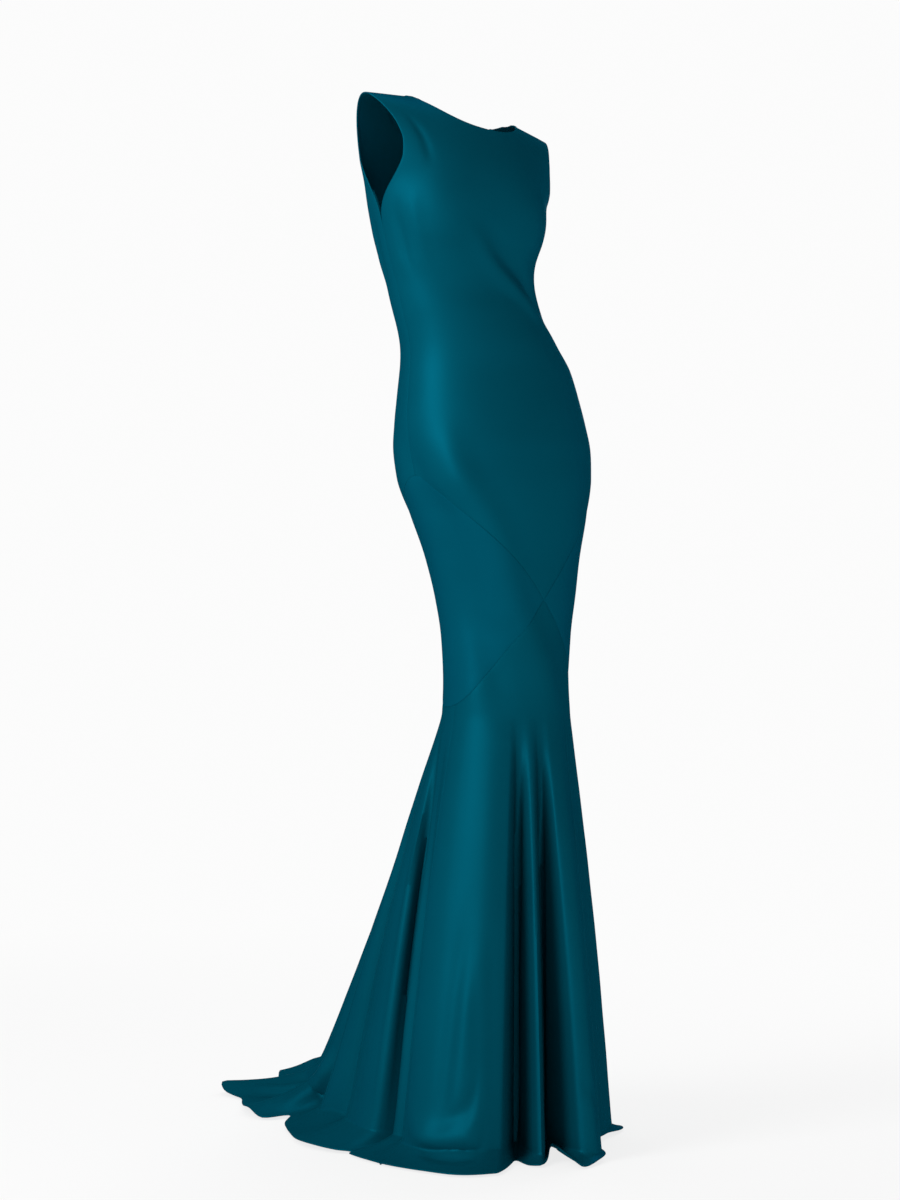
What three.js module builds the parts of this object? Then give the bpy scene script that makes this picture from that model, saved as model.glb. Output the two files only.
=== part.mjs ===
// Long sleeveless gown with a train, in the hollow form that it keeps while it is worn.
// Millimetres, +Z up. The wearer's left is +X and the front is -Y.
// The origin is midway between the two shoulder seams, where the gown hangs from the shoulders.
// Heights in the tables below are above the floor.

import * as THREE from 'three';

// Cloth
const WALL = 2.0;
const SEAM_GAP = 0.3;
const SATIN_ROUGHNESS = 0.42;
const COLOUR = { body: 0x014b5c, inset: 0x02516a, skirt: 0x014656 };

// Heights above the floor
const SHOULDER_HEIGHT = 1540;
const ARMHOLE_BASE = 1398;
const KNEE_HEIGHT = 652;

// Sections of the fitted part: half width, depth in front and behind, and the centre of each section
const BODY = table(
  ['height', 'halfWidth', 'front', 'back', 'centreX', 'centreY'],
  [
    [640, 97.5, 89.5, 88.5, 63.5, -35],
    [700, 95, 88, 87, 63, -35],
    [760, 98, 90, 90, 62.5, -36],
    [820, 107, 96, 95, 61, -36],
    [880, 119, 104, 103, 57.5, -34],
    [940, 137, 113, 112, 53, -31],
    [1000, 155, 118, 121, 49, -26],
    [1040, 158, 118, 120, 48, -22],
    [1080, 154, 114, 114, 46, -19],
    [1120, 147.5, 108, 104, 43.5, -16],
    [1160, 139, 102, 94, 40, -13],
    [1200, 126, 97, 89, 28, -11],
    [1240, 119, 91, 87, 13, -8],
    [1280, 119.5, 86, 89, 4, -5],
    [1320, 125.5, 90, 94, -2, -2],
    [1360, 135, 100, 100, -3.5, 0],
    [1400, 146.5, 106, 104, -3.5, 0],
  ],
);
const SECTION_POWER = 2.15;

// Soft bust shaping of a general figure
const BUST = { turn: 36, turnSpread: 20, height: 1368, spreadUp: 52, spreadDown: 34, out: 12, aside: 8 };

// Bodice above the armhole base
const STRAP_OUTER = 165;
const STRAP_INNER = 98;
const STRAP_OUTER_HEIGHT = 1539;
const STRAP_INNER_HEIGHT = 1548;
const NECK_LINE_HEIGHT = 1560;
const FRONT_NECK_DROP = 34;
const BACK_NECK_DROP = 34;
const NECK_POWER = 2.4;
const SHOULDER_BACKWARD = 4;
const UPPER_HALF_WIDTH = 181;
const SHOULDER_ROLL = THREE.MathUtils.degToRad(8.7);
const ROLL_START = 1240;
const ROLL_FULL = 1480;

// Armhole edges: half width at each share of the way from the armhole base to the strap
const ARMHOLE = table(
  ['share', 'front', 'back'],
  [
    [0, 147.3, 147.3],
    [0.15, 141, 147],
    [0.3, 137, 147.5],
    [0.5, 136, 150],
    [0.7, 142, 155],
    [0.85, 152, 160],
    [1, 165, 165],
  ],
);

// Crossed seams at the hips: heights of the upper and lower seam at each turn from the centre front
const CROSSED_SEAMS = table(
  ['turn', 'upper', 'lower'],
  [
    [0, 817, 817],
    [24, 878, 764],
    [42, 922, 727],
    [54, 947, 706],
    [72, 977, 676],
    [90, 1000, 661],
    [108, 978, 657],
    [127, 940, 663],
    [148, 890, 706],
    [166, 847, 765],
    [180, 817, 817],
  ],
);
const INSET_TIP_TURN = 0.6;
const SEAM_MIDDLE_HEIGHT = 820;

// Skirt: where each fold line touches the floor and where its hem lies, as a bearing and a reach
// from the point between the feet. Rise lifts the fold off the floor where it touches, lift its hem.
const STANCE = { x: 63, y: -35 };
const FOLDS = table(
  ['turn', 'touchBearing', 'touchReach', 'hemBearing', 'hemReach', 'rise', 'lift'],
  [
    [-186, -190, 600, -189, 682, 10, 4],
    [-180, -187, 560, -187, 668, 4, 2],
    [-171, -184, 592, -184, 690, 34, 18],
    [-163, -183, 522, -180, 642, 16, 8],
    [-156, -177.6, 512, -173, 670, 30, 16],
    [-153, -176.4, 488, -170.8, 636, 12, 6],
    [-150, -175.5, 462, -170, 594, 2, 2],
    [-145, -174.2, 444, -165, 537, 4, 2],
    [-140, -169.9, 429, -158, 475, 26, 10],
    [-136, -168.8, 396, -154.3, 428, 8, 2],
    [-132, -168.4, 366, -158.5, 398, 0, 2],
    [-129, -156, 334, -150, 372, 6, 2],
    [-126, -147, 262, -133.9, 329, 2, 2],
    [-123, -126, 236, -118, 305, 10, 4],
    [-119.5, -107.5, 205, -104, 267, 8, 2],
    [-114.5, -106, 172, -101, 251, 0, 0],
    [-109, -99, 190, -98.5, 262, 4, 0],
    [-101, -92, 184, -91, 264, 2, 0],
    [-90, -84, 208, -79, 272, 2, 0],
    [-70, -66, 226, -62, 288, 2, 0],
    [-50, -50, 228, -50, 304, 2, 0],
    [-31, -39, 207, -39.7, 284, 2, 0],
    [-24.5, -30.2, 112, -32.4, 175, 0, 0],
    [-22.5, -28.6, 112, -31.6, 177.5, 0, 0],
    [-13, -22, 200, -24.4, 225, 2, 0],
    [-4.5, -9, 114, -14.6, 170, 0, 17],
    [-2, -6.8, 114, -13, 168, 0, 22],
    [6, -6, 208, -11.5, 256, 2, 3],
    [16, -1, 222, -4, 238, 0, 0],
    [26, 6, 206, 6, 214, 0, 0],
    [35, 30, 128, 32, 132, 0, 0],
    [46, 62, 150, 64, 156, 0, 0],
    [60, 88, 193, 89, 219, 0, 0],
    [73, 100, 140, 101, 150, 0, 0],
    [88, 112, 222, 112, 250, 6, 0],
    [102, 122, 175, 124, 215, 2, 0],
    [116, 134, 250, 134, 330, 14, 4],
    [130, 146, 285, 147, 385, 2, 2],
    [145, 157, 400, 158, 520, 18, 6],
    [160, 165, 480, 168, 615, 2, 2],
    [174, 170, 600, 171, 682, 10, 4],
  ],
);
const KNEE_EASE = 13;
const TRAIN_EASE = 60;
const TRAIN_REACH = { none: 480, full: 620 };
const BELL = 0.35;
const BELL_REACH = { full: 240, none: 400 };
const FLOOR_ROUNDING = { short: 16, long: 32 };
const FLOOR_STRIP = { short: 40, long: 80 };
const NEAR_START = 40;
const NEAR_SOFTNESS = 22;
const SHORT_HEM = 30;
const SHORT_HEM_POWER = 6;
const HEM_CLEARANCE = 2.4;

// Grids
const BODY_HALF_COLUMNS = 10;
const BODY_LOWER_ROWS = 15;
const BODY_UPPER_ROWS = 9;
const INSET_ROWS = 6;
const COLUMN_TURN = 2.2;
const FOLD_SAMPLES = { least: 2, most: 5 };
const SKIRT_UPPER_ROWS = 4;
const SKIRT_LOWER_ROWS = 10;
const SKIRT_BEND_HEIGHT = 540;
const HEM_ROW_POWER = 1.15;
const SIDE_SEAM_TURN = { body: 0.07, skirt: 0.16 };

// Steps along the cloth over which its slope is taken
const TURN_STEP = 0.4;
const LEVEL_STEP = 2;
const SHARE_STEP = 0.01;

// Turns at which the crossed seams bend, shared by the panels on both sides of them
const SEAM_TURNS = [...halfTurns(), ...halfTurns().slice(0, -1).reverse().map((turn) => 180 - turn)];

function table(names, rows) {
  return Object.fromEntries(names.map((name, index) => [name, rows.map((row) => row[index])]));
}

// Value at x of the smooth curve through the points (xs, ys), which never swings past them
function smooth(xs, ys, x) {
  const last = xs.length - 1;
  const at = Math.min(Math.max(x, xs[0]), xs[last]);
  let k = 0;
  while (k < last - 1 && at > xs[k + 1]) k += 1;
  const width = xs[k + 1] - xs[k];
  const u = (at - xs[k]) / width;
  const slope0 = pointSlope(xs, ys, k) * width;
  const slope1 = pointSlope(xs, ys, k + 1) * width;
  const u2 = u * u;
  const u3 = u2 * u;
  return (2 * u3 - 3 * u2 + 1) * ys[k] + (u3 - 2 * u2 + u) * slope0
    + (3 * u2 - 2 * u3) * ys[k + 1] + (u3 - u2) * slope1;
}

function pointSlope(xs, ys, k) {
  const last = xs.length - 1;
  if (k === 0) return (ys[1] - ys[0]) / (xs[1] - xs[0]);
  if (k === last) return (ys[last] - ys[last - 1]) / (xs[last] - xs[last - 1]);
  const before = xs[k] - xs[k - 1];
  const after = xs[k + 1] - xs[k];
  const slopeBefore = (ys[k] - ys[k - 1]) / before;
  const slopeAfter = (ys[k + 1] - ys[k]) / after;
  if (slopeBefore * slopeAfter <= 0) return 0;
  const weight = 3 * (before + after);
  return weight / ((2 * after + before) / slopeBefore + (after + 2 * before) / slopeAfter);
}

function sectionAt(height) {
  return {
    halfWidth: smooth(BODY.height, BODY.halfWidth, height),
    front: smooth(BODY.height, BODY.front, height),
    back: smooth(BODY.height, BODY.back, height),
    centreX: smooth(BODY.height, BODY.centreX, height),
    centreY: smooth(BODY.height, BODY.centreY, height),
  };
}

// Brings a point of the unit circle out to the rounded rectangle of a section
function sectionScale(across, ahead) {
  return (Math.abs(across) ** SECTION_POWER + Math.abs(ahead) ** SECTION_POWER) ** (-1 / SECTION_POWER);
}

// How far the bust stands out at a turn and height, and to which side
function bustAt(turn, height) {
  const spread = height > BUST.height ? BUST.spreadUp : BUST.spreadDown;
  const offset = { out: 0, aside: 0 };
  for (const side of [1, -1]) {
    const acrossShare = (turn - side * BUST.turn) / BUST.turnSpread;
    const upShare = (height - BUST.height) / spread;
    const share = Math.exp(-(acrossShare ** 2 + upShare ** 2));
    offset.out += BUST.out * share;
    offset.aside += side * BUST.aside * share * Math.sin(THREE.MathUtils.degToRad(BUST.turn));
  }
  return offset;
}

// Brings a turn in degrees to between -180 and 180
function wrapped(turn) {
  return turn - 360 * Math.round(turn / 360);
}

// Point of the fitted part. The turn is 0 at the centre front and grows to the wearer's left.
function fittedPoint(turn, height) {
  const angle = THREE.MathUtils.degToRad(turn);
  const across = Math.sin(angle);
  const ahead = Math.cos(angle);
  const scale = sectionScale(across, ahead);
  const section = sectionAt(height);
  const depth = ahead > 0 ? section.front : section.back;
  const bust = bustAt(wrapped(turn), height);
  return new THREE.Vector3(
    section.centreX + section.halfWidth * across * scale + bust.aside,
    section.centreY - depth * ahead * scale - bust.out,
    height,
  );
}

function hemRowAt(turn) {
  const start = FOLDS.turn[0];
  const at = start + THREE.MathUtils.euclideanModulo(turn - start, 360);
  const row = {};
  for (const name of Object.keys(FOLDS)) row[name] = smooth(FOLDS.turn, FOLDS[name], at);
  return row;
}

function fromStance(bearing, reach) {
  const angle = THREE.MathUtils.degToRad(bearing);
  return new THREE.Vector2(STANCE.x + reach * Math.sin(angle), STANCE.y - reach * Math.cos(angle));
}

// Point of the flared part. The share is 0 at the knee and 1 at the hem.
function flaredPoint(turn, share) {
  const fold = hemRowAt(turn);
  const knee = fittedPoint(turn, KNEE_HEIGHT);
  const kneePlan = new THREE.Vector2(knee.x, knee.y);
  const touch = fromStance(fold.touchBearing, fold.touchReach);
  const hem = fromStance(fold.hemBearing, fold.hemReach);
  const onFloor = touch.distanceTo(hem);
  const hang = Math.hypot(KNEE_HEIGHT, kneePlan.distanceTo(touch));
  const length = share * (hang + onFloor);
  const trainShare = THREE.MathUtils.smoothstep(fold.touchReach, TRAIN_REACH.none, TRAIN_REACH.full);
  const ease = KNEE_EASE + TRAIN_EASE * trainShare;
  const easedLength = Math.hypot(length, ease) - ease;
  const easedHang = Math.hypot(hang, ease) - ease;
  const straight = THREE.MathUtils.clamp(easedLength / easedHang, 0, 1);
  const farShare = THREE.MathUtils.smoothstep(fold.touchReach, BELL_REACH.full, BELL_REACH.none);
  const bell = BELL * (1 - farShare);
  const out = straight * (1 + bell * (1 - straight));
  const over = THREE.MathUtils.clamp((length - hang) / onFloor, 0, 1);
  const plan = kneePlan.clone().addScaledVector(touch.clone().sub(kneePlan), out);
  plan.addScaledVector(hem.clone().sub(touch), over);
  const near = 1 / (1 + Math.exp(-(length - hang + NEAR_START) / NEAR_SOFTNESS));
  const fall = KNEE_HEIGHT * (1 - length / hang);
  const strip = THREE.MathUtils.smoothstep(onFloor, FLOOR_STRIP.short, FLOOR_STRIP.long);
  const rounding = THREE.MathUtils.lerp(FLOOR_ROUNDING.short, FLOOR_ROUNDING.long, strip);
  let height = rounding * Math.log1p(Math.exp(-Math.abs(fall) / rounding)) + Math.max(fall, 0);
  height += fold.rise * near * (1 - over) + fold.lift * over * near + HEM_CLEARANCE * near;
  if (onFloor < SHORT_HEM) height += fold.lift * Math.min(length / hang, 1) ** SHORT_HEM_POWER;
  return new THREE.Vector3(plan.x, plan.y, height);
}

// Point of the whole gown below the armholes. Below the knee the level falls to 0 at the hem.
function tubePoint(turn, level) {
  if (level >= KNEE_HEIGHT) return fittedPoint(turn, level);
  return flaredPoint(turn, 1 - level / KNEE_HEIGHT);
}

// Height of the line from shoulder to shoulder across the neck at a half width
function shoulderLine(across) {
  if (across >= STRAP_INNER) {
    const slope = (STRAP_INNER_HEIGHT - STRAP_OUTER_HEIGHT) / (STRAP_OUTER - STRAP_INNER);
    return STRAP_OUTER_HEIGHT + (STRAP_OUTER - across) * slope;
  }
  return STRAP_INNER_HEIGHT + (NECK_LINE_HEIGHT - STRAP_INNER_HEIGHT) * (1 - (across / STRAP_INNER) ** 2);
}

function topEdge(across, drop) {
  if (across >= STRAP_INNER) return shoulderLine(across);
  return STRAP_INNER_HEIGHT - drop * (1 - (across / STRAP_INNER) ** NECK_POWER);
}

// Point of the bodice above the armhole base. The share is 0 at the base and 1 at the top edge.
function bodicePoint(turn, share, isFront) {
  const angle = THREE.MathUtils.degToRad(turn);
  const section = sectionAt(ARMHOLE_BASE);
  const acrossShare = Math.sin(angle) * sectionScale(Math.sin(angle), Math.cos(angle));
  const edge = smooth(ARMHOLE.share, isFront ? ARMHOLE.front : ARMHOLE.back, share);
  const across = Math.abs(acrossShare * edge);
  const top = topEdge(Math.abs(acrossShare) * STRAP_OUTER, isFront ? FRONT_NECK_DROP : BACK_NECK_DROP);
  const height = ARMHOLE_BASE + (top - ARMHOLE_BASE) * share;
  const climb = Math.min((height - ARMHOLE_BASE) / (shoulderLine(across) - ARMHOLE_BASE), 1);
  const halfWidth = section.halfWidth + (UPPER_HALF_WIDTH - section.halfWidth) * climb;
  const round = Math.max(1 - (across / halfWidth) ** SECTION_POWER, 0) ** (1 / SECTION_POWER);
  const roll = Math.max(1 - climb ** SECTION_POWER, 0) ** (1 / SECTION_POWER);
  const depth = (isFront ? section.front : section.back) * round * roll;
  const bust = bustAt(wrapped(turn), height);
  return new THREE.Vector3(
    section.centreX + acrossShare * edge + bust.aside * roll,
    section.centreY + SHOULDER_BACKWARD * climb + (isFront ? -depth : depth) - bust.out * roll,
    height,
  );
}

// Shears the bodice so that the wearer's right shoulder is the higher one, and moves the origin
function placed(point) {
  const rise = THREE.MathUtils.smoothstep(point.z, ROLL_START, ROLL_FULL);
  const height = point.z - point.x * Math.tan(SHOULDER_ROLL) * rise;
  return new THREE.Vector3(point.x, point.y, height - SHOULDER_HEIGHT);
}

// Height of a crossed seam, straight between the turns that all panels share
function seamHeight(name, turn) {
  const at = Math.abs(wrapped(turn));
  const next = Math.max(SEAM_TURNS.findIndex((station) => station >= at), 1);
  const [before, after] = [SEAM_TURNS[next - 1], SEAM_TURNS[next]];
  const low = smooth(CROSSED_SEAMS.turn, CROSSED_SEAMS[name], before);
  const high = smooth(CROSSED_SEAMS.turn, CROSSED_SEAMS[name], after);
  return low + ((high - low) * (at - before)) / (after - before);
}

// Half of the seam gap, measured up the cloth, where a seam crosses it at a slope
function seamMargin(name, turn) {
  const rise = seamHeight(name, turn + TURN_STEP) - seamHeight(name, turn - TURN_STEP);
  const before = fittedPoint(turn - TURN_STEP, SEAM_MIDDLE_HEIGHT);
  const run = fittedPoint(turn + TURN_STEP, SEAM_MIDDLE_HEIGHT).distanceTo(before);
  return (SEAM_GAP / 2) * Math.hypot(1, rise / run);
}

// Closed wall over a grid: pointAt gives its outer points and outwardAt the direction out of the cloth
function wallGeometry(columns, rows, pointAt, outwardAt) {
  const positions = [];
  const faces = [];
  const index = (side, column, row) => (side * (columns + 1) + column) * (rows + 1) + row;
  for (const depth of [0, WALL]) {
    for (let column = 0; column <= columns; column += 1) {
      for (let row = 0; row <= rows; row += 1) {
        const point = pointAt(column, row).addScaledVector(outwardAt(column, row), -depth);
        positions.push(point.x, point.y, point.z);
      }
    }
  }
  const quad = (a, b, c, d) => faces.push(a, b, c, a, c, d);
  for (let column = 0; column < columns; column += 1) {
    const next = column + 1;
    for (let row = 0; row < rows; row += 1) {
      quad(index(0, column, row), index(0, next, row), index(0, next, row + 1), index(0, column, row + 1));
      quad(index(1, column, row), index(1, column, row + 1), index(1, next, row + 1), index(1, next, row));
    }
    quad(index(0, column, 0), index(1, column, 0), index(1, next, 0), index(0, next, 0));
    quad(index(0, next, rows), index(1, next, rows), index(1, column, rows), index(0, column, rows));
  }
  for (let row = 0; row < rows; row += 1) {
    const above = row + 1;
    quad(index(0, 0, above), index(1, 0, above), index(1, 0, row), index(0, 0, row));
    quad(index(0, columns, row), index(1, columns, row), index(1, columns, above), index(0, columns, above));
  }
  const geometry = new THREE.BufferGeometry();
  geometry.setAttribute('position', new THREE.Float32BufferAttribute(positions, 3));
  geometry.setIndex(faces);
  geometry.computeVertexNormals();
  return geometry;
}

// Direction out of the cloth, across two directions along it
function outward(turnStep, levelStep) {
  return turnStep.cross(levelStep).normalize();
}

function tubeOutward(turn, level) {
  const low = Math.max(level - LEVEL_STEP, 0);
  const across = placed(tubePoint(turn + TURN_STEP, level)).sub(placed(tubePoint(turn - TURN_STEP, level)));
  const up = placed(tubePoint(turn, level + LEVEL_STEP)).sub(placed(tubePoint(turn, low)));
  return outward(across, up);
}

function bodiceOutward(turn, share, centre) {
  const isFront = centre === 0;
  const before = Math.max(turn - TURN_STEP, centre - 90);
  const after = Math.min(turn + TURN_STEP, centre + 90);
  const across = placed(bodicePoint(after, share, isFront)).sub(placed(bodicePoint(before, share, isFront)));
  const high = Math.min(share + SHARE_STEP, 1);
  const low = Math.max(share - SHARE_STEP, 0);
  const up = placed(bodicePoint(turn, high, isFront)).sub(placed(bodicePoint(turn, low, isFront)));
  return outward(across, up);
}

// Turns of the columns from the centre to a side seam, with one at the inner strap corner
function halfTurns() {
  const cornerTurn = turnOfShare(STRAP_INNER / STRAP_OUTER);
  const inner = Math.round((BODY_HALF_COLUMNS * cornerTurn) / 90);
  const half = [];
  for (let k = 0; k <= BODY_HALF_COLUMNS; k += 1) {
    const isInner = k <= inner;
    half.push(isInner
      ? (cornerTurn * k) / inner
      : cornerTurn + ((90 - cornerTurn) * (k - inner)) / (BODY_HALF_COLUMNS - inner));
  }
  return half;
}

// The turn at which a section reaches a share of its half width
function turnOfShare(share) {
  const ahead = (1 - share ** SECTION_POWER) ** (1 / SECTION_POWER);
  return THREE.MathUtils.radToDeg(Math.atan2(share, ahead));
}

// Body panel about a centre turn, 0 for the front and 180 for the back
function bodyPanel(centre) {
  const edgeTurn = 90 - SIDE_SEAM_TURN.body;
  const half = halfTurns().map((turn) => Math.min(turn, edgeTurn));
  const before = half.slice(1).reverse().map((turn) => centre - turn);
  const turns = [...before, ...half.map((turn) => centre + turn)];
  const away = centre === 0 ? -1 : 1;
  const rows = BODY_LOWER_ROWS + BODY_UPPER_ROWS;
  const levelAt = (turn, row) => {
    const foot = seamHeight('upper', turn) + seamMargin('upper', turn);
    return foot + ((ARMHOLE_BASE - foot) * row) / BODY_LOWER_ROWS;
  };
  const shareAt = (row) => {
    const part = (row - BODY_LOWER_ROWS) / BODY_UPPER_ROWS;
    return (1 - Math.cos(Math.PI * part)) / 2;
  };
  const pointAt = (column, row) => {
    const turn = turns[column];
    if (row <= BODY_LOWER_ROWS) return placed(tubePoint(turn, levelAt(turn, row)));
    const point = placed(bodicePoint(turn, shareAt(row), centre === 0));
    if (row === rows) point.y += (away * SEAM_GAP) / 2;
    return point;
  };
  const outwardAt = (column, row) => {
    const turn = turns[column];
    const level = Math.min(levelAt(turn, row), ARMHOLE_BASE - LEVEL_STEP);
    if (row <= BODY_LOWER_ROWS) return tubeOutward(turn, level);
    const direction = bodiceOutward(turn, shareAt(row), centre);
    const isStrap = Math.abs(turn - centre) > turnOfShare(STRAP_INNER / STRAP_OUTER) - TURN_STEP;
    if (row === rows && isStrap) direction.setY(0).normalize();
    return direction;
  };
  return wallGeometry(turns.length - 1, rows, pointAt, outwardAt);
}

// Side panel between the crossed seams. The side is 1 for the wearer's left and -1 for the right.
function hipInset(side) {
  const turns = [INSET_TIP_TURN, ...SEAM_TURNS.slice(1, -1), 180 - INSET_TIP_TURN];
  const turnAt = (column) => (side > 0 ? turns[column] : turns[column] - 180);
  const levelAt = (turn, row) => {
    const foot = seamHeight('lower', turn) + seamMargin('lower', turn);
    const head = seamHeight('upper', turn) - seamMargin('upper', turn);
    return foot + ((head - foot) * row) / INSET_ROWS;
  };
  const pointAt = (column, row) => placed(tubePoint(turnAt(column), levelAt(turnAt(column), row)));
  const outwardAt = (column, row) => tubeOutward(turnAt(column), levelAt(turnAt(column), row));
  return wallGeometry(turns.length - 1, INSET_ROWS, pointAt, outwardAt);
}

// Columns of a skirt panel: two to five between each two fold lines, and one at each turn of the seam
function skirtTurns(from, to) {
  const lines = FOLDS.turn.flatMap((turn) => [turn, turn + 360]);
  const inside = lines.filter((turn) => turn > from + COLUMN_TURN && turn < to - COLUMN_TURN);
  const stops = [...new Set([from, ...inside, (from + to) / 2, to])].sort((a, b) => a - b);
  const turns = [];
  for (let k = 0; k < stops.length - 1; k += 1) {
    const width = stops[k + 1] - stops[k];
    const wanted = Math.round(width / COLUMN_TURN);
    const samples = THREE.MathUtils.clamp(wanted, FOLD_SAMPLES.least, FOLD_SAMPLES.most);
    for (let sample = 0; sample < samples; sample += 1) turns.push(stops[k] + (width * sample) / samples);
  }
  turns.push(to);
  for (const station of SEAM_TURNS.flatMap((turn) => [turn, -turn, 360 - turn])) {
    if (station <= from + COLUMN_TURN || station >= to - COLUMN_TURN) continue;
    const distance = turns.map((turn) => Math.abs(turn - station));
    turns[distance.indexOf(Math.min(...distance))] = station;
  }
  return turns;
}

// Skirt panel from the lower crossed seam to the hem
function skirtPanel(from, to) {
  const turns = skirtTurns(from + SIDE_SEAM_TURN.skirt, to - SIDE_SEAM_TURN.skirt);
  const rows = SKIRT_UPPER_ROWS + SKIRT_LOWER_ROWS;
  const levelAt = (turn, row) => {
    const head = seamHeight('lower', turn) - seamMargin('lower', turn);
    if (row < SKIRT_LOWER_ROWS) return SKIRT_BEND_HEIGHT * (row / SKIRT_LOWER_ROWS) ** HEM_ROW_POWER;
    const part = (row - SKIRT_LOWER_ROWS) / SKIRT_UPPER_ROWS;
    return SKIRT_BEND_HEIGHT + (head - SKIRT_BEND_HEIGHT) * part;
  };
  const pointAt = (column, row) => placed(tubePoint(turns[column], levelAt(turns[column], row)));
  const outwardAt = (column, row) => tubeOutward(turns[column], levelAt(turns[column], row));
  return wallGeometry(turns.length - 1, rows, pointAt, outwardAt);
}

function piece(name, geometry, colour) {
  const satin = new THREE.MeshStandardMaterial({ color: colour, roughness: SATIN_ROUGHNESS, metalness: 0 });
  const mesh = new THREE.Mesh(geometry, satin);
  mesh.name = name;
  return mesh;
}

const gown = new THREE.Group();
gown.add(
  piece('front_body', bodyPanel(0), COLOUR.body),
  piece('back_body', bodyPanel(180), COLOUR.body),
  piece('hip_inset_right', hipInset(-1), COLOUR.inset),
  piece('hip_inset_left', hipInset(1), COLOUR.inset),
  piece('skirt_front', skirtPanel(-90, 90), COLOUR.skirt),
  piece('skirt_back', skirtPanel(90, 270), COLOUR.skirt),
);

export default gown;
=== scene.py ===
"""Long sleeveless satin gown with a train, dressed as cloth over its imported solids.

The form tables are in millimetres above the floor, as a maker would chalk them. Every mesh is made in
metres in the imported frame: the front is -Y, the wearer's left is +X, and the origin lies midway
between the two shoulder seams.
"""

import logging
import math
from dataclasses import dataclass
from enum import Enum

import bpy
import numpy as np
from mathutils import Color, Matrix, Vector


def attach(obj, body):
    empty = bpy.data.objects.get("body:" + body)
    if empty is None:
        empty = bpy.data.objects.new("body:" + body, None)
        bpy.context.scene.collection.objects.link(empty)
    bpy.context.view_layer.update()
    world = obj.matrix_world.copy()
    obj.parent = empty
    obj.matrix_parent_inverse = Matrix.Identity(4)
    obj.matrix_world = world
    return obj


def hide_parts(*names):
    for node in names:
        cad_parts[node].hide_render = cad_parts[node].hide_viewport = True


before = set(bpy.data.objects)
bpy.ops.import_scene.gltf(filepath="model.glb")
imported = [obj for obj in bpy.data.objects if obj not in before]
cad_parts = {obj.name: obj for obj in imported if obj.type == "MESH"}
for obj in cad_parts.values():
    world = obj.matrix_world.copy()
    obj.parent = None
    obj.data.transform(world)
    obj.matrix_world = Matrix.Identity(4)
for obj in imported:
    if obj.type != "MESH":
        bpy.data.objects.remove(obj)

LOG = logging.getLogger("gown")
Array = np.ndarray
Row = tuple[float, ...]
Pair = tuple[float, float]
Triple = tuple[float, float, float]
Piece = bpy.types.Object
MM = 0.001
SHOULDER_HEIGHT = 1540.0
KNEE_HEIGHT = 652.0
FULL_TURN = 360.0
QUARTER_TURN = 90.0
LEAST_LENGTH = 1e-12

# Sections of the fitted part: half width, depth in front and behind, and the centre of each section
BODY_COLUMNS = ("half_width", "front", "back", "centre_x", "centre_y")
BODY_SECTIONS: tuple[Row, ...] = (
    (640, 97.5, 89.5, 88.5, 63.5, -35),
    (700, 95, 88, 87, 63, -35),
    (760, 98, 90, 90, 62.5, -36),
    (820, 107, 96, 95, 61, -36),
    (880, 119, 104, 103, 57.5, -34),
    (940, 137, 113, 112, 53, -31),
    (1000, 155, 118, 121, 49, -26),
    (1040, 158, 118, 120, 48, -22),
    (1080, 154, 114, 114, 46, -19),
    (1120, 147.5, 108, 104, 43.5, -16),
    (1160, 139, 102, 94, 40, -13),
    (1200, 126, 97, 89, 28, -11),
    (1240, 119, 91, 87, 13, -8),
    (1280, 119.5, 86, 89, 4, -5),
    (1320, 125.5, 90, 94, -2, -2),
    (1360, 135, 100, 100, -3.5, 0),
    (1400, 146.5, 106, 104, -3.5, 0),
)

# Armhole edges: half width at each share of the way from the armhole base to the strap
ARMHOLE_COLUMNS = ("front", "back")
ARMHOLE_EDGE: tuple[Row, ...] = (
    (0, 147.3, 147.3),
    (0.15, 141, 147),
    (0.3, 137, 147.5),
    (0.5, 136, 150),
    (0.7, 142, 155),
    (0.85, 152, 160),
    (1, 165, 165),
)

# Crossed seams at the hips: heights of the upper and lower seam at each turn from the centre front
SEAM_COLUMNS = ("upper", "lower")
CROSSED_SEAMS: tuple[Row, ...] = (
    (0, 817, 817),
    (24, 878, 764),
    (42, 922, 727),
    (54, 947, 706),
    (72, 977, 676),
    (90, 1000, 661),
    (108, 978, 657),
    (127, 940, 663),
    (148, 890, 706),
    (166, 847, 765),
    (180, 817, 817),
)

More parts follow.
